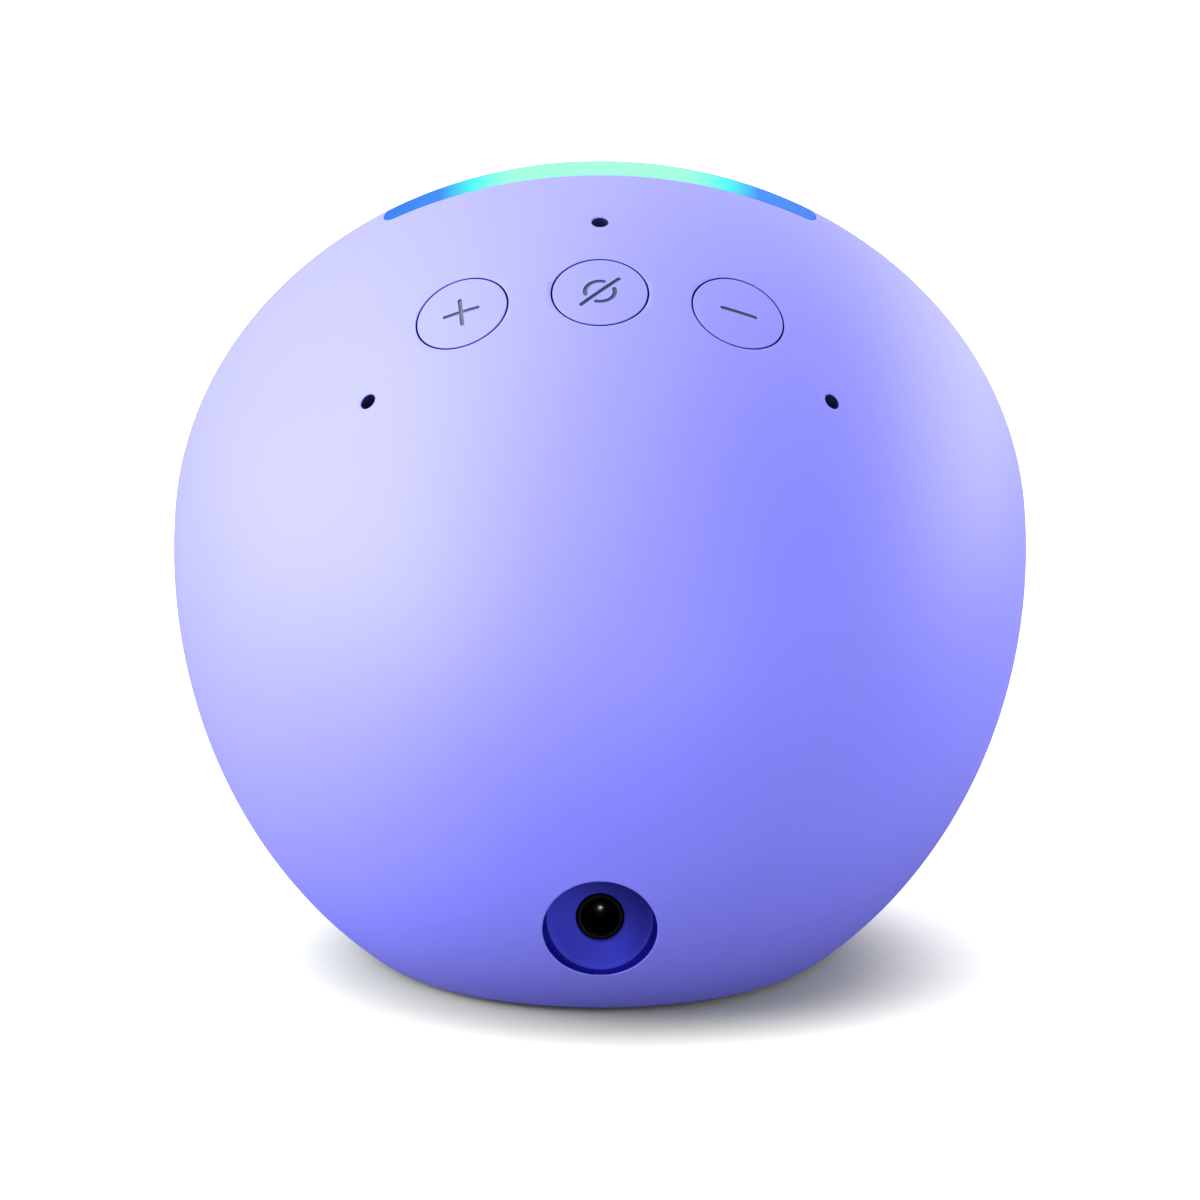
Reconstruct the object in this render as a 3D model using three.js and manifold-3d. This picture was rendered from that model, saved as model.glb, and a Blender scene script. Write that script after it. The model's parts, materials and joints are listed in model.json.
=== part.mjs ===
// Round smart speaker: a deep moulded dome closed by a flat cloth front that leans back.
// Millimetres, +Z up, origin on the table under the middle of the speaker. The cloth front
// faces -Y and the dome bulges towards +Y, where the power socket is.
import * as THREE from 'three';
import { mergeVertices } from 'three/addons/utils/BufferGeometryUtils.js';
import Module from 'manifold-3d';

const wasm = await Module();
wasm.setup();

// ---------------------------------------------------------------- driving dimensions
const lean = THREE.MathUtils.degToRad(18); // the front leans back by this much
const rimY = -26.64; // middle of the rim circle
const rimZ = 44.08;
const rimRadius = 49.5;
const domeDepth = 69.2; // from the rim plane to the tip of the dome
const domePower = 2.25; // 2 would be an ellipsoid, more makes a fuller side
const wall = 2.2;
const shellFront = 0.4; // the shell's edge, behind the cloth's rolled edge
const shellBottom = 0.8; // the dome is cut flat here, and the foot pad stands below it
const clearance = 0.3;
const plateBottom = 1.0;
const plateTop = 3.0;
const floorCut = 7.1; // nothing of the speaker chamber reaches below this height
const clothFront = -0.8;
const buttonRow = 25.8; // how far behind the rim plane the buttons lie
const buttonAngles = { plus: 19.5, mute: 0, minus: -19.5 }; // degrees round from the top
const buttonRadius = 5.4;
const buttonGap = 0.2;
const micPlaces = { top: [13.7, 0], left: [32.5, 35.6], right: [32.5, -35.6] };
const micHoleRadius = 0.98;
const barAngle = 29.7; // the light bar ends this far round from the top, on each side
const barFront = 0.5;
const barBack = 3.7;
const ledAngles = [-22, -11, 0, 11, 22];
const socketHeight = 12.6;
const socketFloor = 28.6; // how far back the flat floor of the socket's pocket lies
const pocketRadius = 6.35;
const jackRadius = 2.55;
const boreRadius = 2.1;
const pinRadius = 0.75;
const pinSetBack = 3.8; // the pin's tip stands this far behind the pocket's floor
const chamberFront = 6.2;
const chamberBack = 36;
const chamberWall = 2;
const driverHole = 22.4;
const screwCircle = 25.2;
const boardFront = 41.8;
const boardThickness = 1.6;
const big = 200;
const roundSides = 24;
const rimSides = 48;

// ---------------------------------------------------------------- materials
function finish(color, roughness, metalness) {
  return new THREE.MeshStandardMaterial({ color, roughness, metalness });
}

const shellPlastic = finish(0x8f8ff2, 0.55, 0);
const buttonPlastic = finish(0x9393f0, 0.55, 0);
const cloth = finish(0x7a7ad8, 0.95, 0);
const diffuser = finish(0x7ff2ee, 0.3, 0);
const clearPlastic = finish(0xe8f2f2, 0.15, 0);
const blackPlastic = finish(0x1b1b1e, 0.5, 0);
const darkRubber = finish(0x26262c, 0.85, 0);
const circuitBoard = finish(0x1e5a3a, 0.6, 0);
const steel = finish(0xb4b6ba, 0.35, 0.9);
const aluminium = finish(0xc4c6c8, 0.4, 0.85);
const copper = finish(0xb8703a, 0.35, 0.9);
const ferrite = finish(0x3a3a3c, 0.6, 0.2);
const paper = finish(0x2c2c2e, 0.9, 0);
const amber = finish(0xc8862e, 0.7, 0);
const white = finish(0xf0f0e8, 0.4, 0);

// ---------------------------------------------------------------- frames
// The capsule frame: +Y runs straight back from the rim plane, +Z up in that plane.
const capsule = new THREE.Group();
capsule.position.set(0, rimY, rimZ);
capsule.rotation.x = -lean;
capsule.updateMatrix();
const speaker = new THREE.Group();
speaker.add(capsule);
const toCapsule = capsule.matrix.clone().invert();

function domeRadius(back, radius = rimRadius, depth = domeDepth) {
  const share = Math.min(back / depth, 1);
  return radius * Math.pow(1 - share * share, 1 / domePower);
}

// A frame on the dome's skin: +Y is the outward normal and +X runs round the rim.
function skinFrame(back, degreesRound) {
  const around = THREE.MathUtils.degToRad(degreesRound);
  const step = 0.01;
  const slope = (domeRadius(back + step) - domeRadius(back - step)) / (2 * step);
  const radius = domeRadius(back);
  const normal = new THREE.Vector3(Math.sin(around), -slope, Math.cos(around)).normalize();
  const tangent = new THREE.Vector3(Math.cos(around), 0, -Math.sin(around));
  const third = new THREE.Vector3().crossVectors(tangent, normal);
  const frame = new THREE.Matrix4().makeBasis(tangent, normal, third);
  return frame.setPosition(radius * Math.sin(around), back, radius * Math.cos(around));
}

// ---------------------------------------------------------------- solids
function solid(geometry) {
  const bare = geometry.clone();
  bare.deleteAttribute('normal');
  bare.deleteAttribute('uv');
  const merged = mergeVertices(bare, 1e-5);
  const index = merged.index.array;
  const kept = [];
  for (let i = 0; i < index.length; i += 3) {
    const [a, b, c] = [index[i], index[i + 1], index[i + 2]];
    if (a !== b && b !== c && c !== a) kept.push(a, b, c);
  }
  const mesh = new wasm.Mesh({
    numProp: 3,
    vertProperties: new Float32Array(merged.attributes.position.array),
    triVerts: new Uint32Array(kept),
  });
  return new wasm.Manifold(mesh);
}

function piece(name, body, material, parent = capsule) {
  const mesh = body.getMesh();
  const geometry = new THREE.BufferGeometry();
  geometry.setAttribute('position', new THREE.BufferAttribute(mesh.vertProperties, 3));
  geometry.setIndex(new THREE.BufferAttribute(mesh.triVerts, 1));
  geometry.computeVertexNormals();
  const part = new THREE.Mesh(geometry, material);
  part.name = name;
  parent.add(part);
  return part;
}

// A profile of [radius, back] points turned round the capsule's axis.
function turned(profile, sides = roundSides) {
  const points = profile.map(([radius, back]) => new THREE.Vector2(radius, back));
  const area = THREE.ShapeUtils.area(points);
  if (area < 0) points.reverse();
  return new THREE.LatheGeometry(points, sides);
}

// The same for a profile that doesn't touch the axis, closed on itself.
function ring(profile, sides = roundSides) {
  const points = profile.map(([radius, back]) => new THREE.Vector2(radius, back));
  if (THREE.ShapeUtils.area(points) < 0) points.reverse();
  points.push(points[0].clone());
  return new THREE.LatheGeometry(points, sides);
}

function tubeRing(inner, outer, from, to, sides = roundSides) {
  return solid(ring([[inner, from], [outer, from], [outer, to], [inner, to]], sides));
}

// A cylinder along +Y from one height to another.
function rod(radius, from, to, sides = roundSides) {
  const geometry = new THREE.CylinderGeometry(radius, radius, to - from, sides);
  return geometry.translate(0, (from + to) / 2, 0);
}

function block(low, high) {
  const size = high.map((value, i) => value - low[i]);
  const middle = high.map((value, i) => (value + low[i]) / 2);
  return new THREE.BoxGeometry(...size).translate(...middle);
}

// Everything below a height of the row frame, written in the capsule's frame.
function below(height) {
  return solid(block([-big, -big, -big], [big, big, height]).applyMatrix4(toCapsule));
}

// A wedge of the capsule between two angles round from the top, for cutting ring sectors.
function wedge(fromDegrees, toDegrees) {
  const steps = 8;
  const shape = new THREE.Shape();
  shape.moveTo(0, 0);
  for (let i = 0; i <= steps; i += 1) {
    const degrees = fromDegrees + ((toDegrees - fromDegrees) * i) / steps;
    const around = THREE.MathUtils.degToRad(degrees);
    shape.lineTo(big * Math.sin(around), big * Math.cos(around));
  }
  const prism = new THREE.ExtrudeGeometry(shape, { depth: big, bevelEnabled: false });
  return solid(prism.rotateX(Math.PI / 2).translate(0, big / 2, 0));
}

// The level outline of a dome of this radius and depth, cut at a height of the row frame.
function footprint(radius, depth, height, from) {
  const steps = 12;
  const upAt = (back) => (height - rimZ + back * Math.sin(lean)) / Math.cos(lean);
  const roomAt = (back) => domeRadius(back, radius, depth) ** 2 - upAt(back) ** 2;
  let [inside, tip] = [from, depth];
  for (let i = 0; i < 30; i += 1) {
    const middle = (inside + tip) / 2;
    if (roomAt(middle) > 0) inside = middle;
    else tip = middle;
  }
  const half = [];
  for (let i = 0; i <= steps; i += 1) {
    const back = from + (inside - from) * Math.sin((Math.PI / 2) * (i / steps));
    const y = rimY + back * Math.cos(lean) + upAt(back) * Math.sin(lean);
    half.push([Math.sqrt(roomAt(back)), y]);
  }
  const outline = new THREE.Shape();
  half.forEach(([x, y], i) => (i === 0 ? outline.moveTo(x, y) : outline.lineTo(x, y)));
  half.reverse().slice(1).forEach(([x, y]) => outline.lineTo(-x, y));
  return outline;
}

function slab(outline, from, to) {
  const prism = new THREE.ExtrudeGeometry(outline, { depth: to - from, bevelEnabled: false });
  return prism.translate(0, 0, from);
}

function domeSolid(radius, depth, from, profileSteps, sides) {
  const profile = [[0, from]];
  const start = Math.asin(from / depth);
  for (let i = 0; i <= profileSteps; i += 1) {
    const turn = start + ((Math.PI / 2 - start) * i) / profileSteps;
    const back = i === profileSteps ? depth : depth * Math.sin(turn);
    profile.push([domeRadius(back, radius, depth), back]);
  }
  return solid(turned(profile, sides));
}

const skin = domeSolid(rimRadius, domeDepth, shellFront, 13, rimSides);

// ---------------------------------------------------------------- rear shell
// Bosses for the base screws, each tied to the wall by a rib.
const bossPlaces = [[-16.5, -29.1], [16.5, -29.1], [0, 12.9]];
const bossRadius = 3;
const bossTop = 6.8;
const bossBottom = 3.3;
const screwShank = 0.95;
const screwHead = 1.9;
const headSeat = 2.1; // the height of the face that each screw's head bears on

function baseBosses() {
  const posts = bossPlaces.map(([x, y]) => {
    const post = rod(bossRadius, bossBottom, bossTop, 16).rotateX(Math.PI / 2);
    const length = 16;
    const rib = block([0, -1, bossBottom], [length, 1, bossTop]);
    if (x === 0) rib.rotateZ(Math.PI / 2);
    if (x < 0) rib.rotateZ(Math.PI);
    return solid(post.translate(x, y, 0)).add(solid(rib.translate(x, y, 0)));
  });
  return posts.reduce((all, one) => all.add(one));
}

// Upright holes for the base screws.
function screwHoles(radius, from, to) {
  const holes = bossPlaces.map(([x, y]) => solid(rod(radius, from, to, 12)
    .rotateX(Math.PI / 2).translate(x, y, 0)));
  return holes.reduce((all, one) => all.add(one));
}

// A level rod along +Y of the row frame at the socket's height.
function socketRod(radius, from, to, sides = roundSides) {
  return rod(radius, from, to, sides).translate(0, 0, socketHeight);
}

function inCapsule(geometry) {
  return solid(geometry.applyMatrix4(toCapsule));
}

function chamberStops() {
  const stops = [45, 135, 225, 315].map((degrees) => {
    const stop = block([-0.8, 8.5, 43], [0.8, 12, 48.4]);
    return solid(stop.rotateY(THREE.MathUtils.degToRad(degrees)));
  });
  return stops.reduce((all, one) => all.add(one));
}

function rearShell() {
  const cavity = domeSolid(rimRadius - wall, domeDepth - wall, 0.1, 11, rimSides);
  const sleeve = inCapsule(socketRod(pocketRadius + 1.8, socketFloor - 1.8, 60, 28));
  const bosses = baseBosses().transform(toCapsule.elements);
  let body = skin.subtract(cavity);
  body = body.add(sleeve.intersect(skin)).add(bosses.intersect(skin));
  body = body.add(chamberStops().intersect(skin));
  body = body.subtract(inCapsule(socketRod(pocketRadius, socketFloor, 60, 28)));
  body = body.subtract(inCapsule(socketRod(jackRadius + clearance, 20, 60)));
  body = body.subtract(screwHoles(screwShank + clearance, 0, 6.2).transform(toCapsule.elements));
  for (const degrees of Object.values(buttonAngles)) {
    const hole = rod(buttonRadius + buttonGap, -8, 5, 32);
    body = body.subtract(solid(hole.applyMatrix4(skinFrame(buttonRow, degrees))));
  }
  for (const [back, degrees] of Object.values(micPlaces)) {
    const hole = rod(micHoleRadius, -5, 5, 12);
    body = body.subtract(solid(hole.applyMatrix4(skinFrame(back, degrees))));
  }
  const barBed = tubeRing(45, 52, -1, barBack + 0.2, rimSides);
  body = body.subtract(barBed.intersect(wedge(-barAngle - 0.25, barAngle + 0.25)));
  return body.subtract(below(shellBottom));
}

piece('rear_shell', rearShell(), shellPlastic);

// ---------------------------------------------------------------- base
function basePlate() {
  const inset = wall + clearance;
  const outline = footprint(rimRadius - inset, domeDepth - inset, shellBottom, 2.6);
  const seats = screwHoles(screwHead + clearance, 0, headSeat + 0.1);
  const holes = screwHoles(screwShank + clearance, 0, plateTop + 1);
  return solid(slab(outline, plateBottom, plateTop)).subtract(seats).subtract(holes);
}

piece('base_plate', basePlate(), blackPlastic, speaker);

const padInset = 1.8;
const padOutline = footprint(rimRadius - padInset, domeDepth - padInset, shellBottom, 2.2);
piece('foot_pad', solid(slab(padOutline, 0, shellBottom)), darkRubber, speaker);

function screw(headRadius, headHeight, length, shank) {
  const head = solid(rod(headRadius, -headHeight, 0, 12));
  return head.add(solid(rod(shank, -0.1, length, 10)));
}

bossPlaces.forEach(([x, y], i) => {
  const post = new THREE.Group();
  post.position.set(x, y, headSeat);
  post.rotation.x = Math.PI / 2;
  speaker.add(post);
  piece(`base_screw_${i + 1}`, screw(screwHead, 0.9, 3.8, screwShank), steel, post);
});

// ---------------------------------------------------------------- cloth front
function frontFabric() {
  const thickness = 0.35;
  const skirt = 49.2;
  const profile = [[0, clothFront], [48.2, clothFront], [48.9, -0.5], [skirt, 0], [skirt, 0.2],
    [skirt - 0.6, 0.2], [skirt - 0.6, -0.15], [48.1, clothFront + thickness],
    [0, clothFront + thickness]];
  return solid(turned(profile, rimSides)).subtract(below(shellBottom));
}

piece('front_fabric', frontFabric(), cloth);

// The moulded carrier that the cloth is stretched over, slotted in front of the driver.
function frontGrille() {
  const flange = rod(48.3, -0.25, 0.15, rimSides);
  const plug = rod(46.4, 0.1, 1.9, rimSides);
  let body = solid(flange).add(solid(plug));
  const slotHalf = 1.3;
  const reach = 23;
  for (let height = -20; height <= 20; height += 5) {
    const half = Math.sqrt(reach * reach - height * height);
    const slot = new THREE.Shape();
    slot.moveTo(-half, -slotHalf);
    slot.absarc(half, 0, slotHalf, -Math.PI / 2, Math.PI / 2);
    slot.absarc(-half, 0, slotHalf, Math.PI / 2, (3 * Math.PI) / 2);
    const cut = new THREE.ExtrudeGeometry(slot, { depth: 8, bevelEnabled: false, curveSegments: 2 });
    body = body.subtract(solid(cut.rotateX(Math.PI / 2).translate(0, 4, height)));
  }
  return body.subtract(below(1.4));
}

piece('front_grille', frontGrille(), blackPlastic);

// ---------------------------------------------------------------- light bar
function arcBand(inner, outer, from, to, degrees) {
  return tubeRing(inner, outer, from, to, rimSides).intersect(wedge(-degrees, degrees));
}

piece('light_bar', arcBand(47.7, 52, barFront, barBack, barAngle).intersect(skin), diffuser);
piece('light_guide', arcBand(46.9, 47.4, 0.8, 3.5, barAngle - 1), clearPlastic);
piece('led_board', arcBand(44.4, 45.2, 2.2, 5.6, barAngle - 2), circuitBoard);
ledAngles.forEach((degrees, i) => {
  const led = block([-1, 2.3, 45.5], [1, 3.5, 46.5]);
  led.rotateY(THREE.MathUtils.degToRad(degrees));
  piece(`led_${i + 1}`, solid(led), white);
});

// ---------------------------------------------------------------- buttons
// Heights along each button's outward normal, from the dome's skin.
const capBottom = -3.6;
const stemBottom = -4.9;
const switchTop = -5.6;
const switchBottom = -8.4;
const plungerRadius = 1.5;

function buttonCap(frame) {
  const inverse = frame.clone().invert();
  const column = solid(rod(buttonRadius, capBottom, 5, 32));
  const crown = column.intersect(skin.transform(inverse.elements));
  const flange = solid(rod(buttonRadius + 1.1, capBottom, -2.95, 32));
  return crown.add(flange).add(solid(rod(plungerRadius, stemBottom, capBottom + 0.1, 12)));
}

function switchBody() {
  const half = 2.6;
  const box = solid(block([-half, switchBottom, -half], [half, switchTop, half]));
  return box.subtract(solid(rod(plungerRadius + clearance, switchTop - 2, 0, 16)));
}

for (const [name, degrees] of Object.entries(buttonAngles)) {
  const frame = skinFrame(buttonRow, degrees);
  const seat = new THREE.Group();
  seat.applyMatrix4(frame);
  capsule.add(seat);
  piece(`${name}_button`, buttonCap(frame), buttonPlastic, seat);
  piece(`${name}_switch`, switchBody(), blackPlastic, seat);
  const plunger = rod(plungerRadius, switchTop - 1, stemBottom - 0.1, 12);
  piece(`${name}_plunger`, solid(plunger), white, seat);
}

// A strip of circuit board bent to a cone, so that it lies square behind every switch.
function buttonBoard() {
  const frame = skinFrame(buttonRow, 0);
  const corners = [[-9.7, -4.5], [-8.7, -4.5], [-8.7, 4.5], [-9.7, 4.5]].map(([out, along]) => {
    const corner = new THREE.Vector3(0, out, along).applyMatrix4(frame);
    return [corner.z, corner.y];
  });
  return solid(ring(corners, rimSides)).intersect(wedge(-27, 27));
}

piece('button_board', buttonBoard(), circuitBoard);

// ---------------------------------------------------------------- microphones
for (const [name, [back, degrees]] of Object.entries(micPlaces)) {
  const seat = new THREE.Group();
  seat.applyMatrix4(skinFrame(back, degrees));
  capsule.add(seat);
  piece(`mic_boot_${name}`, tubeRing(1.2, 2.8, -4.1, -2.6, 16), darkRubber, seat);
  piece(`mic_${name}`, solid(block([-1.8, -5.4, -1.8], [1.8, -4.2, 1.8])), steel, seat);
}

// ---------------------------------------------------------------- speaker driver
function radialCopies(geometryAt, count, offset) {
  const copies = [];
  for (let i = 0; i < count; i += 1) {
    const turn = new THREE.Matrix4().makeRotationY((2 * Math.PI * i) / count + offset);
    copies.push(solid(geometryAt().applyMatrix4(turn)));
  }
  return copies.reduce((all, one) => all.add(one));
}

const screwTurn = Math.PI / 4;

function screwBores(radius, from, to) {
  return radialCopies(() => rod(radius, from, to, 10).translate(0, 0, screwCircle), 4, screwTurn);
}

function acousticChamber() {
  const flangeRadius = 44.4;
  const inner = chamberFront + chamberWall;
  const sides = 36;
  const outside = [[0, chamberFront], [flangeRadius, chamberFront], [flangeRadius, inner],
    [35.3, inner], [26, chamberBack], [0, chamberBack]];
  const hollow = [[0, inner], [33.2, inner], [24.4, chamberBack - chamberWall],
    [0, chamberBack - chamberWall]];
  let body = solid(turned(outside, sides)).subtract(solid(turned(hollow, sides)));
  body = body.subtract(solid(rod(driverHole, 0, inner + 1, sides)));
  body = body.add(radialCopies(() => rod(2.4, inner - 0.1, 12, 10).translate(0, 0, screwCircle),
    4, screwTurn));
  body = body.subtract(screwBores(1.2, 0, 11));
  const legs = [[-16, 12], [16, 12], [0, -20]].map(([x, z]) =>
    solid(rod(2, chamberBack - 0.1, boardFront - clearance, 10).translate(x, 0, z)));
  body = legs.reduce((all, one) => all.add(one), body);
  const cableHole = rod(1.5, chamberBack - 4, chamberBack + 4, 12).translate(0, 0, 19);
  return body.subtract(solid(cableHole)).subtract(below(floorCut));
}

piece('acoustic_chamber', acousticChamber(), blackPlastic);

function chamberGasket() {
  return tubeRing(23, 27.4, 5.35, 6.05).subtract(screwBores(1.2, 0, 11));
}

piece('chamber_gasket', chamberGasket(), darkRubber);

function driverBasket() {
  const profile = [[21.2, 4.2], [27.5, 4.2], [27.5, 5.2], [22, 5.2], [21.6, 6.4], [16.2, 14.2],
    [15.6, 15], [9.4, 15], [9.4, 14], [15, 14], [20.6, 6.4]];
  const windows = radialCopies(() => block([-5, 7.4, 0], [5, 13.2, 30]), 4, 0);
  return solid(ring(profile)).subtract(windows).subtract(screwBores(1.2, 0, 11));
}

piece('driver_basket', driverBasket(), steel);

function driverSurround() {
  const profile = [[23, 3.7], [23, 4.05], [21.9, 4.05], [21.2, 2.95], [20.4, 2.75], [19.6, 3.2],
    [19.1, 4.6], [18.7, 4.4], [19.3, 2.9], [20.4, 2.4], [21.5, 2.6], [22.2, 3.7]];
  return solid(ring(profile));
}

piece('driver_surround', driverSurround(), darkRubber);

const conePlate = [[18.9, 4.8], [19.3, 5.3], [8.4, 11.2], [8.4, 10.6]];
piece('driver_cone', solid(ring(conePlate)), paper);
const capDome = [[0, 7.2], [4, 7.7], [7, 9], [8.6, 10.2], [8.2, 10.5], [6.7, 9.5], [3.8, 8.2],
  [0, 7.7]];
piece('driver_dust_cap', solid(turned(capDome)), paper);
piece('voice_coil', tubeRing(7.5, 8.05, 11.3, 18.6), copper);

function driverSpider() {
  const wave = [];
  const folds = 4;
  const lift = 0.45;
  for (let i = 0; i <= folds; i += 1) wave.push([8.7 + 1.5 * i, 12.4 + (i % 2 ? lift : -lift)]);
  const back = wave.map(([radius, depth]) => [radius, depth + 0.35]).reverse();
  return solid(ring([...wave, ...back]));
}

piece('driver_spider', driverSpider(), amber);
piece('driver_top_plate', tubeRing(8.4, 15.6, 15.2, 17.2), steel);
piece('driver_magnet', tubeRing(10.5, 17, 17.4, 22.2), ferrite);
const yoke = [[0, 15.4], [7.2, 15.4], [7.2, 22.4], [16, 22.4], [16, 24.6], [0, 24.6]];
piece('driver_yoke', solid(turned(yoke)), steel);
piece('driver_terminal', solid(block([-4, 12, 17.6], [4, 14.4, 18.6])), amber);
for (let i = 0; i < 4; i += 1) {
  const seat = new THREE.Group();
  seat.rotation.y = screwTurn + (i * Math.PI) / 2;
  const place = new THREE.Group();
  place.position.set(0, 4.05, screwCircle);
  seat.add(place);
  capsule.add(seat);
  piece(`driver_screw_${i + 1}`, screw(1.8, 1.1, 6, 0.9), steel, place);
}

// ---------------------------------------------------------------- electronics
function mainBoard() {
  const radius = 33;
  const outline = new THREE.Shape();
  const flat = Math.asin(24 / radius);
  outline.absarc(0, 0, radius, -flat, Math.PI + flat);
  const board = new THREE.ExtrudeGeometry(outline,
    { depth: boardThickness, bevelEnabled: false, curveSegments: 24 });
  return solid(board.rotateX(Math.PI / 2).translate(0, boardFront + boardThickness, 0));
}

piece('main_board', mainBoard(), circuitBoard);

const boardBack = boardFront + boardThickness;

function shieldCan() {
  const sheet = 0.4;
  const [low, high] = [boardBack + 0.2, boardBack + 3];
  const can = solid(block([-12, low, -10], [12, high, 10]));
  return can.subtract(solid(block([-12 + sheet, 0, -10 + sheet], [12 - sheet, high - sheet, 10 - sheet])));
}

piece('shield_can', shieldCan(), steel);
piece('thermal_pad', solid(block([-8, boardBack + 3.2, -7], [8, boardBack + 4.2, 7])), white);
const spreader = block([-20, boardBack + 4.4, -12], [20, boardBack + 5.6, 14]);
piece('heat_spreader', solid(spreader), aluminium);

// Thin aerials stuck to the inside of the shell, one on each side.
function aerial(from, to) {
  const gap = wall + clearance;
  const profile = [];
  const steps = 3;
  for (let i = 0; i <= steps; i += 1) {
    const back = 20 + (14 * i) / steps;
    profile.push([domeRadius(back, rimRadius - gap, domeDepth - gap), back]);
  }
  const inside = profile.map(([radius, back]) => [radius - 0.4, back]).reverse();
  return solid(ring([...profile, ...inside], rimSides)).intersect(wedge(from, to));
}

piece('antenna_left', aerial(62, 88), copper);
piece('antenna_right', aerial(-88, -62), copper);

// ---------------------------------------------------------------- power socket
function dcJack() {
  const half = 4.5;
  const face = socketFloor - 0.1;
  const back = 17.9;
  const low = [-half, back, socketHeight - half];
  const high = [half, socketFloor - 2, socketHeight + half];
  const nose = solid(socketRod(jackRadius, back + 1, face));
  const bore = solid(socketRod(boreRadius, back + 2, face + 1));
  const pinHole = solid(socketRod(pinRadius + 0.1, back - 1, face, 12));
  return solid(block(low, high)).add(nose).subtract(bore).subtract(pinHole);
}

piece('dc_jack', dcJack(), blackPlastic, speaker);
piece('dc_pin', solid(socketRod(pinRadius, 18.1, socketFloor - pinSetBack, 12)), steel, speaker);

// ---------------------------------------------------------------- internal wiring
function cable(points, section, steps) {
  const route = new THREE.CatmullRomCurve3(points.map((point) => new THREE.Vector3(...point)));
  return solid(new THREE.ExtrudeGeometry(section, { steps, extrudePath: route, bevelEnabled: false }));
}

function roundSection(radius, sides) {
  const section = new THREE.Shape();
  for (let i = 0; i < sides; i += 1) {
    const around = (2 * Math.PI * i) / sides;
    const [x, y] = [radius * Math.cos(around), radius * Math.sin(around)];
    if (i === 0) section.moveTo(x, y);
    else section.lineTo(x, y);
  }
  return section;
}

const lead = roundSection(0.9, 8);
const speakerRoute = [[0, 14.8, 18.1], [0, 19, 21], [0, 27, 20.5], [0, 35, 19], [0, 41.4, 18]];
piece('speaker_cable', cable(speakerRoute, lead, 18), darkRubber);
const ribbonRoute = [[0, 28.6, 36.1], [0, 34, 36], [0, 39.3, 34.2], [0, 41.2, 29.5]];
const flat = new THREE.Shape([[-3, -0.15], [3, -0.15], [3, 0.15], [-3, 0.15]]
  .map(([x, y]) => new THREE.Vector2(x, y)));
piece('ribbon_cable', cable(ribbonRoute, flat, 14), amber);
const powerRoute = [[-3, 17.5, 10.5], [-3, 15, 10], [-3, 12, 10.2], [-3, 9.8, 11]];
piece('power_cable', cable(powerRoute, lead, 10), darkRubber, speaker);

export default speaker;
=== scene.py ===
import json
import math

import bpy
import numpy as np
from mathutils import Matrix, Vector


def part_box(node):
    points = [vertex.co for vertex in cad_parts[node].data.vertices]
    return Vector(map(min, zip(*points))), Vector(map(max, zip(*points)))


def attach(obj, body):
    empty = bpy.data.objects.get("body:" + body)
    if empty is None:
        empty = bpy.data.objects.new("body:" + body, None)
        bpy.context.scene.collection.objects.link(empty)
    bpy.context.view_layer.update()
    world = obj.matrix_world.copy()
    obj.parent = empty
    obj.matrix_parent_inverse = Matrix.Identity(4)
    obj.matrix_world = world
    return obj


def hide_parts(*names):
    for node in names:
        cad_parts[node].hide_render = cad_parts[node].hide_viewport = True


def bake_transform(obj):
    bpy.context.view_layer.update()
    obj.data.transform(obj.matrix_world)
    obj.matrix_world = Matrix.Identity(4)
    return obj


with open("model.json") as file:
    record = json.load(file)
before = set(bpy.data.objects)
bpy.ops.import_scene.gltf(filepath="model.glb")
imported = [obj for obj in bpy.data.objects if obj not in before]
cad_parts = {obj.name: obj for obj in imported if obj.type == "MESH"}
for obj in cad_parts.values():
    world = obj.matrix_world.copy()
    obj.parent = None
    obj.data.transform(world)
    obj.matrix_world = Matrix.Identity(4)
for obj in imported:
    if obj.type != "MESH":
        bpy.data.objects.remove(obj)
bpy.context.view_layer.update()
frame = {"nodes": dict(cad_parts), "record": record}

MM = 0.001

# ---------------------------------------------------------------------------
# Rear shell. One deep dome of satin lavender plastic, 2.2 mm thick, turned about an axis that
# leans back with the front. Moulded in one piece, with a sleeve for the power socket, and holes
# with softly broken edges for the buttons, the microphones and the light bar.
lean = math.radians(18)
rim_centre = np.array([0.0, -26.64, 44.08]) * MM
shell_low, shell_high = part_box("rear_shell")
rim_radius = (shell_high.x - shell_low.x) / 2
dome_depth = 69.2 * MM
dome_power = 2.25
shell_wall = 2.2 * MM
shell_front = 0.4 * MM
shell_bottom = shell_low.z
button_back = 25.8 * MM
button_turns = {"plus": 19.5, "mute": 0.0, "minus": -19.5}
button_hole = 5.5 * MM
mic_places = [(13.7 * MM, 0.0), (32.5 * MM, 35.6), (32.5 * MM, -35.6)]
mic_hole = 0.96 * MM
pocket_floor = 28.6 * MM
pocket_height = 12.6 * MM
pocket_radius = 6.35 * MM
jack_hole = 2.7 * MM
rim_edge = 0.3 * MM
button_hole_depth = 9 * MM
button_flare = 0.06 * MM
mic_hole_depth = 4 * MM
mic_flare = 0.12 * MM
pocket_corner = 1.1 * MM
pocket_flare = 0.2 * MM
sleeve_wall = 1.8 * MM
sleeve_sunk = 0.9 * MM
jack_flare = 0.25 * MM
jack_flare_depth = 0.2 * MM
cutter_top = 2 * MM
cutter_lap = 0.05 * MM
slot_gap = 0.09 * MM
slot_depth = 4 * MM

side_axis = np.array([1.0, 0.0, 0.0])
back_axis = np.array([0.0, math.cos(lean), -math.sin(lean)])
up_axis = np.array([0.0, math.sin(lean), math.cos(lean)])


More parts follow.
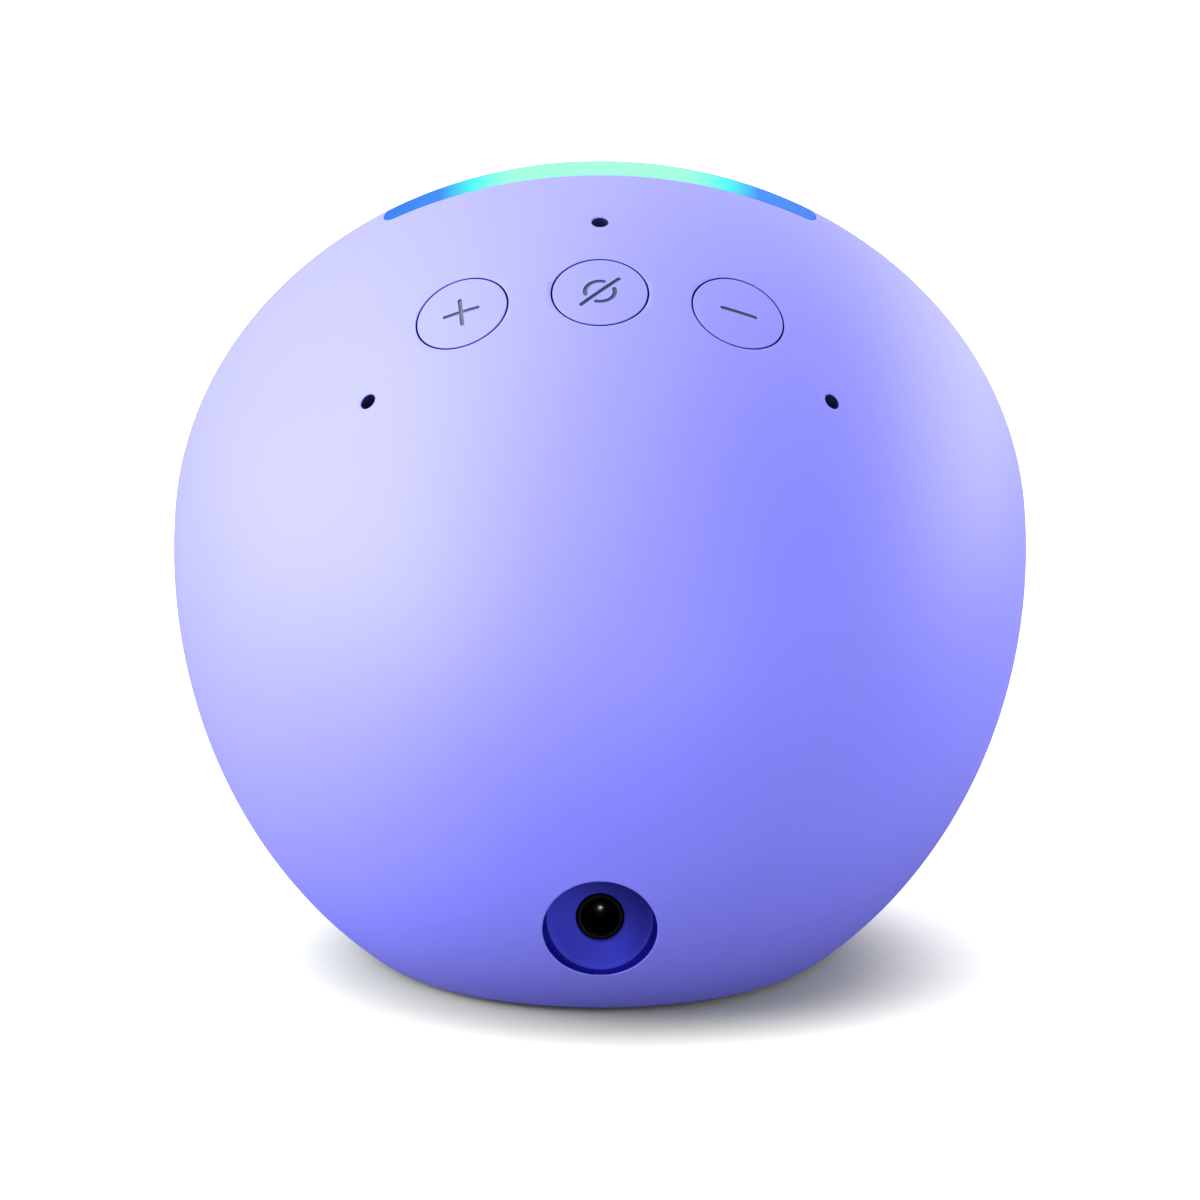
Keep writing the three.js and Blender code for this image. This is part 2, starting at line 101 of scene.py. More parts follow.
def dome_radius(back, inset=0.0):
    """Radius of the dome at a depth behind the rim: R (1 - (back / D)^2)^(1 / n)."""
    share = np.clip(back / (dome_depth - inset), 0, 1)
    return (rim_radius - inset) * (1 - share**2) ** (1 / dome_power)


def skin_field(points):
    """(r / R)^n + (back / D)^2 - 1, which is 0 on the skin, and its outward gradient."""
    local = points - rim_centre
    side, back, up = local @ side_axis, local @ back_axis, local @ up_axis
    radius = np.maximum(np.hypot(side, up), 1e-9)
    value = (radius / rim_radius) ** dome_power + (back / dome_depth) ** 2 - 1
    slope = dome_power * radius ** (dome_power - 2) / rim_radius**dome_power
    gradient = (
        (slope * side)[..., None] * side_axis
        + (2 * back / dome_depth**2)[..., None] * back_axis
        + (slope * up)[..., None] * up_axis
    )
    return value, gradient


def skin_frame(back, degrees):
    """A frame on the skin: origin, outward normal, direction round the rim, direction uphill."""
    turn = math.radians(degrees)
    radius = dome_radius(back)
    around = math.sin(turn) * side_axis + math.cos(turn) * up_axis
    origin = rim_centre + radius * around + back * back_axis
    normal = skin_field(origin)[1]
    normal = normal / np.linalg.norm(normal)
    level = math.cos(turn) * side_axis - math.sin(turn) * up_axis
    return origin, normal, level, np.cross(level, normal)


def drape(place, reach, turn):
    """Points of the skin seen along a frame's axis, at a reach and a turn from that axis. Each
    height along the axis is found by Newton's steps: height less value / slope."""
    origin, axis, first, second = place
    steps = 9
    spoke = np.cos(turn)[..., None] * first + np.sin(turn)[..., None] * second
    flat = origin + reach[..., None] * spoke
    height = np.zeros(flat.shape[:-1])
    for _ in range(steps):
        value, gradient = skin_field(flat + height[..., None] * axis)
        height = height - value / (gradient @ axis)
    return flat + height[..., None] * axis


def turned_rings(place, profile, sides):
    """Rings round a frame's axis, one for each (radius, height) of the profile:
    origin + radius (first cos + second sin) + height axis."""
    origin, axis, first, second = place
    turn = np.linspace(0, 2 * np.pi, sides, endpoint=False)
    spoke = np.cos(turn)[:, None] * first + np.sin(turn)[:, None] * second
    profile = np.asarray(profile, float)
    return origin + profile[:, :1, None] * spoke + profile[:, 1:, None] * axis


def draped_rings(place, profile, sides):
    """As turned_rings, with each height counted from the skin along the frame's axis."""
    profile = np.asarray(profile, float)
    turn = np.linspace(0, 2 * np.pi, sides, endpoint=False)
    reach = np.repeat(profile[:, :1], sides, axis=1)
    on_skin = drape(place, reach, np.broadcast_to(turn, reach.shape))
    return on_skin + profile[:, 1:, None] * place[1]


def arc(centre, radius, start, stop, steps):
    """Points of a profile on an arc between two angles in degrees: centre + radius (cos, sin)."""
    turn = np.radians(np.linspace(start, stop, steps))
    return np.stack([centre[0] + radius * np.cos(turn), centre[1] + radius * np.sin(turn)], 1)


def closed_piece(name, *shells):
    """A mesh of closed shells. Each shell is a stack of rings, (count, sides, 3), joined by quads
    and closed at both ends by a fan, with its faces turned outwards."""
    corners, faces, used = [], [], 0
    for rings in shells:
        count, sides = rings.shape[:2]
        points = np.concatenate([rings.reshape(-1, 3), [rings[0].mean(0), rings[-1].mean(0)]])
        row = np.arange(count - 1)[:, None] * sides
        here, after = np.arange(sides), (np.arange(sides) + 1) % sides
        quads = np.stack([row + here, row + after, row + sides + after, row + sides + here], -1)
        quads = quads.reshape(-1, 4)
        last, first_pole, last_pole = (count - 1) * sides, count * sides, count * sides + 1
        start_fan = np.stack([after, here, np.full(sides, first_pole)], -1)
        end_fan = np.stack([last + here, last + after, np.full(sides, last_pole)], -1)
        halves = np.concatenate([quads[:, [0, 1, 2]], quads[:, [0, 2, 3]], start_fan, end_fan])
        a, b, c = (points[halves[:, i]] - points.mean(0) for i in range(3))
        turn_round = slice(None, None, -1 if np.einsum("ij,ij", a, np.cross(b, c)) < 0 else 1)
        for block in (quads, start_fan, end_fan):
            faces += (block[:, turn_round] + used).tolist()
        corners.append(points)
        used += len(points)
    mesh = bpy.data.meshes.new(name)
    mesh.from_pydata(np.concatenate(corners).tolist(), [], faces)
    mesh.update()
    piece = bpy.data.objects.new(name, mesh)
    bpy.context.scene.collection.objects.link(piece)
    return piece


def combine(piece, tool, operation="DIFFERENCE"):
    """Cuts the tool out of the piece, or adds it. New faces keep the tool's own material."""
    modifier = piece.modifiers.new("combine", "BOOLEAN")
    modifier.object = tool
    modifier.operation = operation
    modifier.solver = "EXACT"
    modifier.material_mode = "TRANSFER"
    bpy.context.view_layer.update()
    whole = piece.evaluated_get(bpy.context.evaluated_depsgraph_get())
    mesh = bpy.data.meshes.new_from_object(whole)
    piece.modifiers.clear()
    piece.data = mesh
    bpy.data.objects.remove(tool)
    return piece


def box_tool(low, high):
    """A box between two corners, as a stack of two rings of four points."""
    (x0, y0, z0), (x1, y1, z1) = low, high
    square = [(x0, y0), (x1, y0), (x1, y1), (x0, y1)]
    return np.array([[(x, y, z) for x, y in square] for z in (z0, z1)], float)


def read(items, label, width=1, kind=np.float64):
    """One property of every vertex, corner or face of a mesh, as an array with a row for each."""
    values = np.empty(len(items) * width, kind)
    items.foreach_get(label, values)
    return values.reshape(-1, width) if width > 1 else values


# A corner counts as lying on the skin where the skin's field is all but 0, and a face as part
# of the skin where the cosine between its normal and the skin's is near 1.
skin_slack = 1e-4
skin_facing = 0.985


def smooth(piece, degrees=35):
    """Smooth faces that meet sharply only past an angle. Corners on the dome's skin take the
    skin's own normal, so that cuts through it leave no dents in the reflections."""
    mesh = piece.data
    mesh.shade_smooth()
    mesh.set_sharp_from_angle(angle=math.radians(degrees))
    normals = read(mesh.corner_normals, "vector", 3)
    corner = read(mesh.loops, "vertex_index", kind=np.int64)
    value, gradient = skin_field(read(mesh.vertices, "co", 3))
    gradient /= np.linalg.norm(gradient, axis=1)[:, None]
    on_skin = np.abs(value) < skin_slack
    size = read(mesh.polygons, "loop_total", kind=np.int64)
    face = np.repeat(np.arange(len(size)), size)
    face_normal = read(mesh.polygons, "normal", 3)[face]
    faces_out = np.einsum("ij,ij->i", face_normal, gradient[corner]) > skin_facing
    skin_face = np.ones(len(size), bool)
    np.logical_and.at(skin_face, face, on_skin[corner] & faces_out)
    use = skin_face[face]
    normals[use] = gradient[corner][use]
    mesh.normals_split_custom_set(normals.tolist())
    return piece


# Frames of the dome and of the power socket: an origin, an axis and two directions across it.
# Profiles start and end a tiny way off their axis, where a fan closes them.
capsule = (rim_centre, back_axis, side_axis, up_axis)
socket = (np.array([0.0, 0.0, pocket_height]), np.array([0.0, 1.0, 0.0]), side_axis,
          np.array([0.0, 0.0, 1.0]))
tiny = 0.02 * MM


def dome_profile(inset, start, rows):
    """(radius, back) points of the dome from a depth to its tip, closer together at the tip:
    each depth is the whole depth times the sine of an even share of a quarter turn."""
    depth = dome_depth - inset
    near_tip = 0.4999 * np.pi
    back = depth * np.sin(np.linspace(math.asin(start / depth), near_tip, rows))
    return np.stack([dome_radius(back, inset), back], 1)


def hole_tool(place, radius, below, flare, sides=96):
    """A cutter for a hole square to the skin: a straight wall, then a quarter arc that flares
    outwards and ends a hair above the skin."""
    hair = 0.004 * MM
    edge = arc((radius + flare, hair - flare), flare, 180, 90, 6)
    profile = [(tiny, -below), (radius, -below), *edge, (radius + flare, cutter_top),
               (tiny, cutter_top)]
    return draped_rings(place, profile, sides)


def pocket_tool():
    """The socket's pocket: a flat floor and a quarter arc round its corner, both square to the
    socket's axis, then a straight wall up to a flared edge that follows the skin."""
    corner = (pocket_radius - pocket_corner, pocket_floor + pocket_corner)
    low = [(tiny, pocket_floor), (corner[0], pocket_floor)]
    low += list(arc(corner, pocket_corner, -84, 0, 9))
    mouth = pocket_radius + pocket_flare
    high = arc((mouth, -pocket_flare), pocket_flare, 180, 90, 6)
    high = [*high, (mouth, 2 * cutter_top), (tiny, 2 * cutter_top)]
    return np.concatenate([turned_rings(socket, low, 128), draped_rings(socket, high, 128)])


def socket_sleeve():
    """The tube behind the pocket, one wall wider than it, from a wall behind its floor out to
    a level just under the skin."""
    radius = pocket_radius + sleeve_wall
    low = [(tiny, pocket_floor - sleeve_wall), (radius, pocket_floor - sleeve_wall)]
    high = [(radius, -sleeve_sunk), (tiny, -sleeve_sunk)]
    return np.concatenate([turned_rings(socket, low, 96), draped_rings(socket, high, 96)])


# The light bar's outline in the skin, shared by the bar and by its slot: it runs round the rim,
# a little narrower towards its ends, which are half rounds.
bar_turn = math.radians(29.7)
bar_front = 0.5 * MM
bar_back_middle = 3.8 * MM
bar_back_end = 3.1 * MM
bar_end_radius = 1.3 * MM


def bar_rings(grow, edge, lifts, steps=150, across=15):
    """Closed sections across the bar. Front and back edges draw together at each end by
    r - sqrt(r^2 - (r - room)^2), which makes the ends half rounds. The top follows the skin at
    the first lift with its edges rounded off, the underside lies at the second, and grow widens
    the outline all round."""
    half_length = rim_radius * bar_turn + grow
    run = np.linspace(-np.pi / 2, np.pi / 2, steps)[1:-1]
    along = half_length * np.sin(run)
    room = half_length - np.abs(along)
    radius = bar_end_radius + grow
    least_width = 0.01 * MM
    bite = radius - np.sqrt(np.maximum(radius**2 - np.maximum(radius - room, 0) ** 2, 1e-12))
    front = bar_front - grow + bite
    share = (along / half_length) ** 2
    back = bar_back_middle + (bar_back_end - bar_back_middle) * share + grow - bite
    width = np.maximum(back - front, least_width)
    part = 0.5 - 0.5 * np.cos(np.linspace(0, np.pi, across))
    depth = front[:, None] + width[:, None] * part
    inward = np.minimum(width[:, None] * np.minimum(part, 1 - part), edge)
    drop = edge - np.sqrt(np.maximum(edge**2 - (edge - inward) ** 2, 0))
    turn = (along / rim_radius)[:, None] + 0 * depth
    spoke = np.sin(turn)[..., None] * side_axis + np.cos(turn)[..., None] * up_axis
    skin = rim_centre + dome_radius(depth)[..., None] * spoke + depth[..., None] * back_axis
    top = skin + (lifts[0] - drop)[..., None] * spoke
    under = skin + lifts[1] * spoke
    return np.concatenate([top, under[:, ::-1]], axis=1)


def below_foot():
    """A box that holds all that lies under the level of the shell's foot."""
    span = 1.5 * (shell_high - shell_low).length
    return box_tool((-span, -span, -span), (span, span, shell_bottom))


def rear_shell():
    """The dome's inner and outer profiles, joined by a quarter arc at the rim and turned round
    the axis, with the sleeve added and every hole and the level of the foot cut away."""
    inner = dome_profile(shell_wall, shell_front, 40)[::-1]
    lip = arc((rim_radius - rim_edge, shell_front + rim_edge), rim_edge, -90, 0, 7)
    outer = dome_profile(0, shell_front + rim_edge, 120)
    profile = np.concatenate([inner, lip, outer[1:]])
    piece = closed_piece("rear_shell_visual", turned_rings(capsule, profile, 288))
    combine(piece, closed_piece("sleeve", socket_sleeve()), "UNION")
    holes = [hole_tool(skin_frame(button_back, turn), button_hole, button_hole_depth, button_flare)
             for turn in button_turns.values()]
    holes += [hole_tool(skin_frame(back, turn), mic_hole, mic_hole_depth, mic_flare, 48)
              for back, turn in mic_places]
    holes.append(pocket_tool())
    holes.append(bar_rings(slot_gap, 0.0, (cutter_top, -slot_depth)))
    holes.append(below_foot())
    combine(piece, closed_piece("holes", *holes))
    floor_level = pocket_floor + cutter_lap
    profile = [(tiny, 0), (jack_hole, 0), (jack_hole, pocket_floor - jack_flare_depth),
               (jack_hole + jack_flare, floor_level), (tiny, floor_level)]
    combine(piece, closed_piece("jack_hole", turned_rings(socket, profile, 64)))
    return smooth(piece)


def paint_shade_on_walls(piece, place, reach, depth, painted_shade):
    """Gives a dark material, painted shade deep in a hole or gap, to faces whose distance from a
    frame's axis lies between two reaches, and which lie further under the skin than a depth: the
    field's value over its slope."""
    mesh = piece.data
    mesh.materials.append(painted_shade)
    centre = read(mesh.polygons, "center", 3)
    origin, axis = place[:2]
    height = (centre - origin) @ axis
    away = np.linalg.norm(centre - origin - height[:, None] * axis, axis=1)
    value, gradient = skin_field(centre)
    above_skin = value / np.linalg.norm(gradient, axis=1)
    kind = read(mesh.polygons, "material_index", kind=np.int64)
    deep = (reach[0] < away) & (away < reach[1]) & (above_skin < -depth) & (kind == 0)
    kind[deep] = len(mesh.materials) - 1
    mesh.polygons.foreach_set("material_index", kind)


def node_group(name, inputs, outputs):
    """An empty shader group with named sockets: (name, kind, default)."""
    group = bpy.data.node_groups.new(name, "ShaderNodeTree")
    for label, kind, default in inputs:
        socket_in = group.interface.new_socket(label, in_out="INPUT", socket_type=kind)
        if default is not None:
            socket_in.default_value = default
    for label, kind in outputs:
        group.interface.new_socket(label, in_out="OUTPUT", socket_type=kind)
    start = group.nodes.new("NodeGroupInput")
    end = group.nodes.new("NodeGroupOutput")
    return group, start.outputs, end.inputs


def add(tree, kind, inputs=(), **settings):
    """A node with its settings, its inputs linked where they are sockets and set where not."""
    node = tree.nodes.new(kind)
    for label, value in settings.items():
        setattr(node, label, value)
    for label, value in dict(inputs).items():
        if isinstance(value, bpy.types.NodeSocket):
            tree.links.new(value, node.inputs[label])
        else:
            node.inputs[label].default_value = value
    return node


def math_node(tree, operation, first, second=0.0, third=0.0):
    """One step of arithmetic on numbers or sockets. Multiply-and-add is first second + third."""
    inputs = {0: first, 1: second}
    if operation == "MULTIPLY_ADD":
        inputs[2] = third
    return add(tree, "ShaderNodeMath", inputs, operation=operation).outputs[0]


def color_mix(tree, factor, low, high):
    """A colour between two colours or sockets: low (1 - factor) + high factor."""
    mix = add(tree, "ShaderNodeMix", {"Factor": factor}, data_type="RGBA")
    for label, value in (("A", low), ("B", high)):
        if isinstance(value, bpy.types.NodeSocket):
            tree.links.new(value, mix.inputs[label])
        else:
            mix.inputs[label].default_value = (*value, 1)
    return mix.outputs["Result"]


def blank_material(name):
    """A new material, its node tree and its shader."""
    material = bpy.data.materials.new(name)
    material.use_nodes = True
    return material, material.node_tree, material.node_tree.nodes["Principled BSDF"]


def moulded_group():
    """Spark-eroded grain for a bump, half a cell pattern over a fine noise, and a slow haze
    that shifts colour and gloss a little."""
    group, given, out = node_group(
        "Moulded surface",
        [("Place", "NodeSocketVector", None), ("Grain size", "NodeSocketFloat", 0.2 * MM)],
        [("Height", "NodeSocketFloat"), ("Haze", "NodeSocketFloat")])
    scale = math_node(group, "DIVIDE", 1.0, given["Grain size"])
    grain = add(group, "ShaderNodeTexNoise",
                {"Vector": given["Place"], "Scale": scale, "Detail": 3.0, "Roughness": 0.6})
    pits = add(group, "ShaderNodeTexVoronoi", {"Vector": given["Place"], "Scale": scale},
               feature="SMOOTH_F1")
    haze = add(group, "ShaderNodeTexNoise",
               {"Vector": given["Place"], "Scale": 45.0, "Detail": 5.0, "Roughness": 0.65})
    mixed = math_node(group, "MULTIPLY_ADD", pits.outputs["Distance"], 0.5, grain.outputs[0])
    group.links.new(mixed, out["Height"])
    group.links.new(haze.outputs[0], out["Haze"])
    return group


moulded = moulded_group()


def plastic(name, color, rough, spread=0.06, grain=0.2 * MM, bump=0.012 * MM, **fixed):
    """Moulded plastic: a base colour with a faint haze, grain in the bump, and a roughness that
    the haze spreads evenly about its middle value."""
    material, tree, shader = blank_material(name)
    place = add(tree, "ShaderNodeTexCoord").outputs["Object"]
    surface = add(tree, "ShaderNodeGroup", node_tree=moulded)
    tree.links.new(place, surface.inputs["Place"])
    surface.inputs["Grain size"].default_value = grain
    haze = surface.outputs["Haze"]
    hazed = [channel * 0.93 for channel in color]
    tree.links.new(color_mix(tree, haze, hazed, color), shader.inputs["Base Color"])
    gloss = math_node(tree, "MULTIPLY_ADD", haze, spread, rough - spread / 2)
    tree.links.new(gloss, shader.inputs["Roughness"])
    relief = add(tree, "ShaderNodeBump",
                 {"Height": surface.outputs["Height"], "Distance": bump, "Strength": 0.6})
    tree.links.new(relief.outputs["Normal"], shader.inputs["Normal"])
    for label, value in fixed.items():
        shader.inputs[label.replace("_", " ")].default_value = value
    return material


lavender = (0.215, 0.216, 0.93)
seam_depth = 0.09 * MM
mic_shade_depth = 0.2 * MM
pocket_shade_depth = 0.1 * MM
pocket_wall_band = 0.45 * MM
pocket_slack = 0.03 * MM
shell_plastic = plastic("Lavender shell plastic", lavender, 0.55, Specular_IOR_Level=0.3)
shell = rear_shell()
shell.data.materials.clear()
shell.data.materials.append(shell_plastic)
# Below the flare, the walls of the button holes take a near-black material: painted shade in the
# seams round the caps.
seam_painted_shade = plastic("Painted shade in button seams", (0.008, 0.008, 0.02), 0.7)
for turn in button_turns.values():
    paint_shade_on_walls(shell, skin_frame(button_back, turn), (button_hole - tiny, button_hole + tiny),
               seam_depth, seam_painted_shade)
# Deep in the microphone holes the walls take a dark blue: painted shade inside the holes.
mic_hole_painted_shade = plastic("Painted shade in mic holes", (0.004, 0.004, 0.07), 0.7)
for back, turn in mic_places:
    paint_shade_on_walls(shell, skin_frame(back, turn), (mic_hole - tiny, mic_hole + tiny),
               mic_shade_depth, mic_hole_painted_shade)
# The socket's pocket takes a darker, deeper blue than the shell, and the band of its wall a darker
# one still: painted shade in the pocket.
pocket_painted_shade = plastic("Painted shade in pocket", (0.035, 0.04, 0.55), 0.6,
                         Specular_IOR_Level=0.2)
pocket_wall_painted_shade = plastic("Deeper painted shade on pocket wall", (0.004, 0.004, 0.22), 0.7,
                      Specular_IOR_Level=0.1)
pocket_reach = pocket_radius + pocket_slack
paint_shade_on_walls(shell, socket, (pocket_radius - pocket_wall_band, pocket_reach), pocket_shade_depth,
           pocket_wall_painted_shade)
paint_shade_on_walls(shell, socket, (0.0, pocket_reach), pocket_shade_depth, pocket_painted_shade)
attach(shell, "housing")
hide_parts("rear_shell")

# ---------------------------------------------------------------------------
# Buttons. Three flush caps of the shell's plastic, each a round cut from the same dome with a
# broken edge and a flange behind the wall. Their marks are sunk and filled with grey.
button_radius = 5.28 * MM
button_edge = 0.07 * MM
cap_bottom = -3.6 * MM
flange_top = -2.95 * MM
flange_width = 1.1 * MM
flange_step = 0.3 * MM
stem_bottom = -4.9 * MM
stem_radius = 1.5 * MM
mark_stroke = 0.25 * MM
mark_depth = 0.16 * MM
mark_reach = 1.95 * MM
ring_radius = 1.66 * MM
slash_reach = 2.95 * MM


def button_cap(name, place):
    """Rings draped over the skin out to the cap's edge, a quarter arc down into its wall, then a
    wider flange behind the shell and a narrow stem, all round the frame's axis."""
    rows = [(reach, 0) for reach in np.linspace(tiny, button_radius - button_edge, 26)]
    rows += list(arc((button_radius - button_edge, -button_edge), button_edge, 90, 0, 7))[1:]
    rows += [(button_radius, flange_top)]
    crown = draped_rings(place, rows, 96)
    flange = button_radius + flange_width
    foot = [(button_radius, flange_top - flange_step), (flange, flange_top - flange_step),
            (flange, cap_bottom), (stem_radius, cap_bottom), (stem_radius, stem_bottom),
            (tiny, stem_bottom)]
    return closed_piece(name, np.concatenate([crown, turned_rings(place, foot, 96)]))


def stroke_tool(place, path, radius, depth):
    """A groove cutter along a path in the frame's plane. The outline is the path shifted by the
    radius to either side, joined by half circles at its ends, and is carried from its depth up
    to above the skin."""
    path = np.asarray(path, float)
    run = np.gradient(path, axis=0)
    run /= np.linalg.norm(run, axis=1)[:, None]
    beside = np.stack([-run[:, 1], run[:, 0]], 1) * radius
    cap = np.linspace(0, np.pi, 9)[1:-1, None]
    end = path[-1] + beside[-1] * np.cos(cap) + run[-1] * radius * np.sin(cap)
    start = path[0] - beside[0] * np.cos(cap) - run[0] * radius * np.sin(cap)
    outline = np.concatenate([path + beside, end, (path - beside)[::-1], start])
    reach = np.hypot(outline[:, 0], outline[:, 1])
    turn = np.arctan2(outline[:, 1], outline[:, 0])
    skin = drape(place, reach, turn)
    return np.stack([skin - depth * place[1], skin + cutter_top / 2 * place[1]])


def straight(start, stop, count=5):
    """Points at even steps along a line."""
    return np.linspace(start, stop, count)


def ring_part(start, stop):
    """Points of the mute mark's ring between two angles in degrees."""
    return arc((0, 0), ring_radius, start, stop, 25)


# The strokes of each mark, as paths in its cap's own plane. The slash lies at 45 degrees.
slash = slash_reach * math.sqrt(0.5)
level_stroke = straight((-mark_reach, 0), (mark_reach, 0))
upright_stroke = straight((0, -mark_reach), (0, mark_reach))
slash_stroke = straight((-slash, slash), (slash, -slash))
marks = {
    "plus": [level_stroke, upright_stroke],
    "minus": [level_stroke],
    "mute": [ring_part(-16, 105), ring_part(164, 285), slash_stroke],
}
button_plastic = plastic("Lavender button plastic", lavender, 0.55, Specular_IOR_Level=0.3)
mark_fill = plastic("Grey mark filling", (0.06, 0.085, 0.115), 0.55, grain=0.08 * MM,
                    Specular_IOR_Level=0.3)
for name, turn in button_turns.items():
    place = skin_frame(button_back, turn)
    cap = button_cap(f"{name}_button_visual", place)
    cap.data.materials.append(button_plastic)
    for path in marks[name]:
        groove = closed_piece("groove", stroke_tool(place, path, mark_stroke, mark_depth))
        groove.data.materials.append(mark_fill)
        combine(cap, groove)
    # The cap's side and flange below the skin take the same near-black: painted shade in the seam.
    paint_shade_on_walls(cap, place, (button_radius - tiny, button_radius + 2 * flange_width), seam_depth,
               seam_painted_shade)
    smooth(cap)
    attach(cap, f"{name}_key")
    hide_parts(f"{name}_button")

# ---------------------------------------------------------------------------
# Light bar. A milky diffuser let into the shell along the top of the rim, flush with the skin,
# lit blue at its ends, through cyan, to mint across the middle.
bar_edge = 0.15 * MM
bar_depth = 1.7 * MM
bar = closed_piece("light_bar_visual", bar_rings(0.0, bar_edge, (0.0, -bar_depth)))
smooth(bar)
bar_points = read(bar.data.vertices, "co", 3) - rim_centre
bar_share = np.abs(np.arctan2(bar_points @ side_axis, bar_points @ up_axis)) / bar_turn
bar.data.attributes.new("along", "FLOAT", "POINT").data.foreach_set(
    "value", bar_share.astype(np.float32))


def diffuser_material():
    """A milky face whose own light takes its colour from the share of the half length between
    the bar's middle, at 0, and its end, at 1."""
    material, tree, shader = blank_material("Lit diffuser")
    along = add(tree, "ShaderNodeAttribute", attribute_name="along").outputs["Fac"]
    ramp = add(tree, "ShaderNodeValToRGB", {"Fac": along})
    # Places along the half length, each with the colour of the light there.
    stops = [(0.0, (0.46, 1.2, 0.83)), (0.40, (0.40, 1.2, 0.85)), (0.57, (0.05, 1.15, 1.05)),
             (0.72, (0.02, 0.28, 1.1)), (1.0, (0.01, 0.2, 1.0))]
    for _ in stops[2:]:
        ramp.color_ramp.elements.new(0.5)
    for element, (position, color) in zip(ramp.color_ramp.elements, stops):
        element.position = position
        element.color = (*color, 1)
    surface = add(tree, "ShaderNodeGroup", node_tree=moulded)
    tree.links.new(add(tree, "ShaderNodeTexCoord").outputs["Object"], surface.inputs["Place"])
    gloss = math_node(tree, "MULTIPLY_ADD", surface.outputs["Haze"], 0.1, 0.5)
    tree.links.new(gloss, shader.inputs["Roughness"])
    shader.inputs["Specular IOR Level"].default_value = 0.06
    tree.links.new(ramp.outputs["Color"], shader.inputs["Emission Color"])
    shader.inputs["Emission Strength"].default_value = 0.8
    shader.inputs["Base Color"].default_value = (0.01, 0.02, 0.03, 1)
    return material


bar.data.materials.append(diffuser_material())
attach(bar, "housing")
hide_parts("light_bar")

# ---------------------------------------------------------------------------
# Cloth front. A knitted polyester sheet stretched over the slotted carrier and rolled round its
# edge, 0.35 mm thick, cut off level with the foot of the shell.
cloth_front = -0.8 * MM
cloth_radius = 49.2 * MM
cloth_thickness = 0.35 * MM
cloth_roll = 0.9 * MM
cloth_end = 0.2 * MM


def cloth_piece():
    """The sheet's profile: flat across the front, an arc round the edge, and the same line back
    one thickness inside it, turned round the axis and cut level with the foot."""
    rows = [(reach, cloth_front) for reach in np.linspace(tiny, cloth_radius - cloth_roll, 40)]
    rows += list(arc((cloth_radius - cloth_roll, cloth_front + cloth_roll), cloth_roll, -82, 0, 8))
    rows += [(cloth_radius, cloth_end), (cloth_radius - cloth_thickness, cloth_end)]
    inner = cloth_roll - cloth_thickness
    rows += list(arc((cloth_radius - cloth_roll, cloth_front + cloth_roll), inner, 0, -82, 6))
    rows += [(reach, cloth_front + cloth_thickness)
             for reach in np.linspace(cloth_radius - cloth_roll, tiny, 12)]
    piece = closed_piece("front_fabric_visual", turned_rings(capsule, rows, 256))
    combine(piece, closed_piece("floor_cut", below_foot()))
    return smooth(piece, degrees=50)


# The weave is laid out flat: a point's distance from the middle grows by the way that the sheet
# has gone back round its edge.
cloth = cloth_piece()
cloth_points = read(cloth.data.vertices, "co", 3) - rim_centre
cloth_flat = np.stack([cloth_points @ side_axis, cloth_points @ up_axis], 1)
cloth_reach = np.maximum(np.linalg.norm(cloth_flat, axis=1), 1e-6)
rolled_on = 1 + np.maximum(cloth_points @ back_axis - cloth_front, 0) / cloth_reach
weave_place = np.concatenate([cloth_flat * rolled_on[:, None], np.zeros((len(cloth_flat), 1))], 1)
cloth.data.attributes.new("weave_place", "FLOAT_VECTOR", "POINT").data.foreach_set(
    "vector", weave_place.astype(np.float32).ravel())


def knit_group():
    """Interlaced yarns in a plane. Across itself a yarn's height is |sin(pi place)|^0.6, along
    itself it dips by a cosine under every other crossing, and the higher of the two sets is what
    shows."""
    group, given, out = node_group(
        "Knitted cloth",
        [("Place", "NodeSocketVector", None), ("Pitch", "NodeSocketFloat", 0.5 * MM)],
        [("Height", "NodeSocketFloat")])
    pitch = math_node(group, "DIVIDE", 1.0, given["Pitch"])
    scaled = add(group, "ShaderNodeVectorMath", {0: given["Place"]}, operation="SCALE")
    group.links.new(pitch, scaled.inputs["Scale"])
    parts = add(group, "ShaderNodeSeparateXYZ", {0: scaled.outputs[0]})
    heights = []
    for here, across, shift in (("X", "Y", 0.0), ("Y", "X", 1.0)):
        position, travel = parts.outputs[here], parts.outputs[across]
        turned_on = math_node(group, "MULTIPLY", position, math.pi)
        rounded = math_node(group, "ABSOLUTE", math_node(group, "SINE", turned_on))
        rounded = math_node(group, "POWER", rounded, 0.6)
        number = math_node(group, "FLOOR", position)
        phase = math_node(group, "ADD", math_node(group, "ADD", travel, number), shift + 0.5)
        dip = math_node(group, "COSINE", math_node(group, "MULTIPLY", phase, math.pi))
        dip = math_node(group, "MULTIPLY_ADD", dip, 0.3, 0.7)
        heights.append(math_node(group, "MULTIPLY", rounded, dip))
    group.links.new(math_node(group, "MAXIMUM", *heights), out["Height"])
    return group


